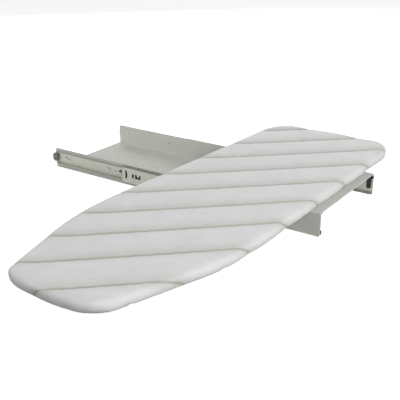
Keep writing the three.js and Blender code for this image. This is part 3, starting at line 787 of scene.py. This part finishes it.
def build_stitching(lines):
    """The seams' thread: short bars, each with its ends drawn down into the cloth."""
    sides = 6
    turn = np.arange(sides) / sides * 2 * math.pi
    spans = ((-1, 0.3), (-0.7, 0.85), (0, 1), (0.7, 0.85), (1, 0.3))
    vertices = []
    faces = []
    for points, normals in lines:
        steps = np.linalg.norm(np.diff(points, axis=0), axis=1)
        length = np.concatenate([[0], np.cumsum(steps)])
        places = np.arange(STITCH_STEP, length[-1] - STITCH_STEP, STITCH_STEP)

        def at(values, where):
            return np.column_stack([np.interp(where, length, values[:, axis]) for axis in range(3)])

        middle = at(points, places)
        along = at(points, places + MM) - at(points, places - MM)
        along /= np.linalg.norm(along, axis=1)[:, None]
        up = at(normals, places)
        up -= along * (up * along).sum(1)[:, None]
        up /= np.linalg.norm(up, axis=1)[:, None]
        side = np.cross(along, up)
        for index in range(len(places)):
            first = len(vertices)
            for reach, swell in spans:
                centre = middle[index] + along[index] * reach * STITCH_LENGTH / 2
                centre = centre + up[index] * THREAD * (0.35 - 0.5 * reach ** 2)
                for angle in turn:
                    arm = side[index] * math.cos(angle) + up[index] * math.sin(angle)
                    vertices.append(centre + arm * THREAD / 2 * swell)
            rings = [first + ring * sides + np.arange(sides) for ring in range(len(spans))]
            for ring, after in zip(rings, rings[1:]):
                faces += ring_faces(after, ring)
            faces.append(tuple(rings[0]))
            faces.append(tuple(rings[-1][::-1]))
    stitching = new_object("cover_stitching", vertices, faces, "board")
    stitching.data.materials.append(stitch_thread())


def build_foam():
    """Foam underlay: close under the cover's skin, over the panel and down round its side."""
    reach = float(np.interp(-FOAM_TOP_EDGE, -soft_edge[2], soft_edge[0]))
    flat, faces = flat_cloth(FOAM_STEP, FOAM_ROWS, FOAM_RIM_POINTS, reach)
    points, normals, gap, _, beyond = sewn(flat)
    depth = CLOTH_THICKNESS + FOAM_CLEARANCE + GROOVE_DEPTH * np.exp(-gap / GROOVE_REACH)
    points = points - normals * depth[:, None]
    rim = points[:FOAM_RIM_POINTS]
    way_out = outward(rim[:, :2])
    level = np.full(FOAM_RIM_POINTS, 1.0)
    lower = rim[:, :2] - way_out * nose_share(way_out)[:, None] * FOAM_NOSE_TUCK
    inner = rim[:, :2] - way_out * (PANEL_INSET - CLOTH_THICKNESS - FOAM_CLEARANCE - 0.3 * MM)
    rings = [
        np.column_stack([lower, level * FOAM_BOTTOM]),
        np.column_stack([inner, level * FOAM_BOTTOM]),
        np.column_stack([inner, level * (PANEL_TOP + 0.1 * MM)]),
    ]
    lowest = PANEL_TOP + FOAM_OVER_PANEL
    over_panel = beyond < reach - 4 * MM
    points[over_panel, 2] = np.maximum(points[over_panel, 2], lowest)
    first = len(points)
    indices = [np.arange(FOAM_RIM_POINTS)]
    indices += [first + ring * FOAM_RIM_POINTS + np.arange(FOAM_RIM_POINTS) for ring in range(3)]
    faces = list(faces)
    for outer, after in zip(indices, indices[1:]):
        faces += ring_faces(outer, after)
    faces.append(tuple(indices[-1][::-1]))
    foam = new_object("foam_underlay", np.vstack([points, *rings]), faces, "board", smooth=False)
    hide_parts("foam_pad")
    finish(foam, "foam")


def build_elastic():
    """The hem's elastic: a ribbed tape, gathered with the hem that it is sewn to."""
    middle = HEM_WIDTH + 0.3 * MM + ELASTIC_WIDTH / 2
    half_width, half_height = ELASTIC_WIDTH / 2, ELASTIC_THICKNESS / 2
    soft = ELASTIC_CORNER
    section = [
        (-half_width, -half_height + soft), (-half_width + soft, -half_height),
        (half_width - soft, -half_height), (half_width, -half_height + soft),
        (half_width, half_height - soft), (half_width - soft, half_height),
        (-half_width + soft, half_height), (-half_width, half_height - soft),
    ]
    waves = hem_waves()
    rings = []
    cuts = []
    ahead = np.arange(RIM_POINTS) * np.linalg.norm(outline[1] - outline[0])
    for across, up in section:
        ground = outline - outline_normals * (middle + across)
        height = cover_low.z - ELASTIC_DROP - ELASTIC_GATHER * waves + up
        rings.append(np.column_stack([ground, height]))
        cuts.append(np.column_stack([ahead, np.full(RIM_POINTS, across)]))
    indices = [ring * RIM_POINTS + np.arange(RIM_POINTS) for ring in range(len(section))]
    faces = []
    for ring, after in zip(indices, indices[1:] + indices[:1]):
        faces += ring_faces(ring, after)
    elastic = new_object("hem_elastic", np.vstack(rings), faces, "board")
    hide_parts("cover_elastic")
    set_cut(elastic.data, np.vstack(cuts))
    finish(elastic, "elastic")


# ------------------------------------------------------------------ the slides' balls

def build_balls(cage, radius, depth, half_spread, spacing):
    """A cage's two rows of balls, on the cage's own body."""
    low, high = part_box(cage)
    outward_side = 1 if cage.endswith("far") else -1
    pattern = bmesh.new()
    bmesh.ops.create_icosphere(pattern, subdivisions=3, radius=radius)
    ball = np.array([tuple(v.co) for v in pattern.verts])
    ball_faces = [[v.index for v in face.verts] for face in pattern.faces]
    pattern.free()
    count = int((high.x - low.x - 4 * radius) / spacing) + 1
    start = (low.x + high.x - (count - 1) * spacing) / 2
    middle = (low.z + high.z) / 2
    vertices = []
    faces = []
    for step in range(count):
        for level in (-half_spread, half_spread):
            centre = (start + step * spacing, outward_side * depth, middle + level)
            first = len(vertices)
            vertices += list(ball + centre)
            faces += [[first + corner for corner in face] for face in ball_faces]
    made = new_object(cage.replace("ball_cage", "balls"), vertices, faces, cage)
    finish(made, "bright_steel")


seam_lines = build_cover()
build_stitching(seam_lines)
build_foam()
build_elastic()
for side in ("near", "far"):
    build_balls(f"outer_ball_cage_{side}", *OUTER_BALLS)
    build_balls(f"inner_ball_cage_{side}", *INNER_BALLS)

# ------------------------------------------------------------------ stage

def make_stage():
    """A plain pale floor that glows a little, as a lit white sweep does, and soft light all round."""
    floor = bpy.data.objects.new("floor", bpy.data.meshes.new("floor"))
    corners = [(-1, -1), (1, -1), (1, 1), (-1, 1)]
    vertices = [(x * FLOOR_REACH, y * FLOOR_REACH, 0) for x, y in corners]
    floor.data.from_pydata(vertices, [], [(0, 1, 2, 3)])
    floor.location.z = -FLOOR_DROP
    bpy.context.scene.collection.objects.link(floor)
    made, _, shader = material("pale_floor", (0.6, 0.6, 0.6), 0.9, Emission_Strength=FLOOR_GLOW)
    shader.inputs["Emission Color"].default_value = (1, 1, 1, 1)
    floor.data.materials.append(made)
    floor.visible_diffuse = False
    world = bpy.data.worlds.new("studio")
    world.use_nodes = True
    background = world.node_tree.nodes["Background"]
    background.inputs["Color"].default_value = WORLD_COLOR
    background.inputs["Strength"].default_value = WORLD_STRENGTH
    bpy.context.scene.world = world


def soft_light(name, azimuth, elevation, power, mirrored=True):
    """A round softbox three metres from the board, at an azimuth from +X towards +Y."""
    turn, rise = math.radians(azimuth), math.radians(elevation)
    way = Vector((math.cos(turn) * math.cos(rise), math.sin(turn) * math.cos(rise), math.sin(rise)))
    light = bpy.data.lights.new(name, "AREA")
    light.shape = "DISK"
    light.size = LIGHT_SIZE
    light.energy = power
    made = bpy.data.objects.new(name, light)
    made.location = Vector(LIGHT_AIM) + way * LIGHT_DISTANCE
    made.rotation_euler = (-way).to_track_quat("-Z", "Y").to_euler()
    made.visible_glossy = mirrored
    bpy.context.scene.collection.objects.link(made)


def make_camera():
    camera = bpy.data.cameras.new("camera")
    camera.lens = CAMERA_LENS
    camera.sensor_width = CAMERA_SENSOR
    made = bpy.data.objects.new("camera", camera)
    made.location = CAMERA_PLACE
    made.rotation_euler = (CAMERA_TILT, 0, CAMERA_TURN)
    bpy.context.scene.collection.objects.link(made)
    bpy.context.scene.camera = made


make_stage()
soft_light("key", 0, 40, 36)
soft_light("front_right", -30, 40, 17)
soft_light("front", -45, 20, 30)
soft_light("low_right", 30, 15, 20)
soft_light("low_left", 210, 15, 24)
soft_light("back", 138, 20, 58, mirrored=False)
make_camera()
bpy.context.scene.view_settings.view_transform = "Standard"
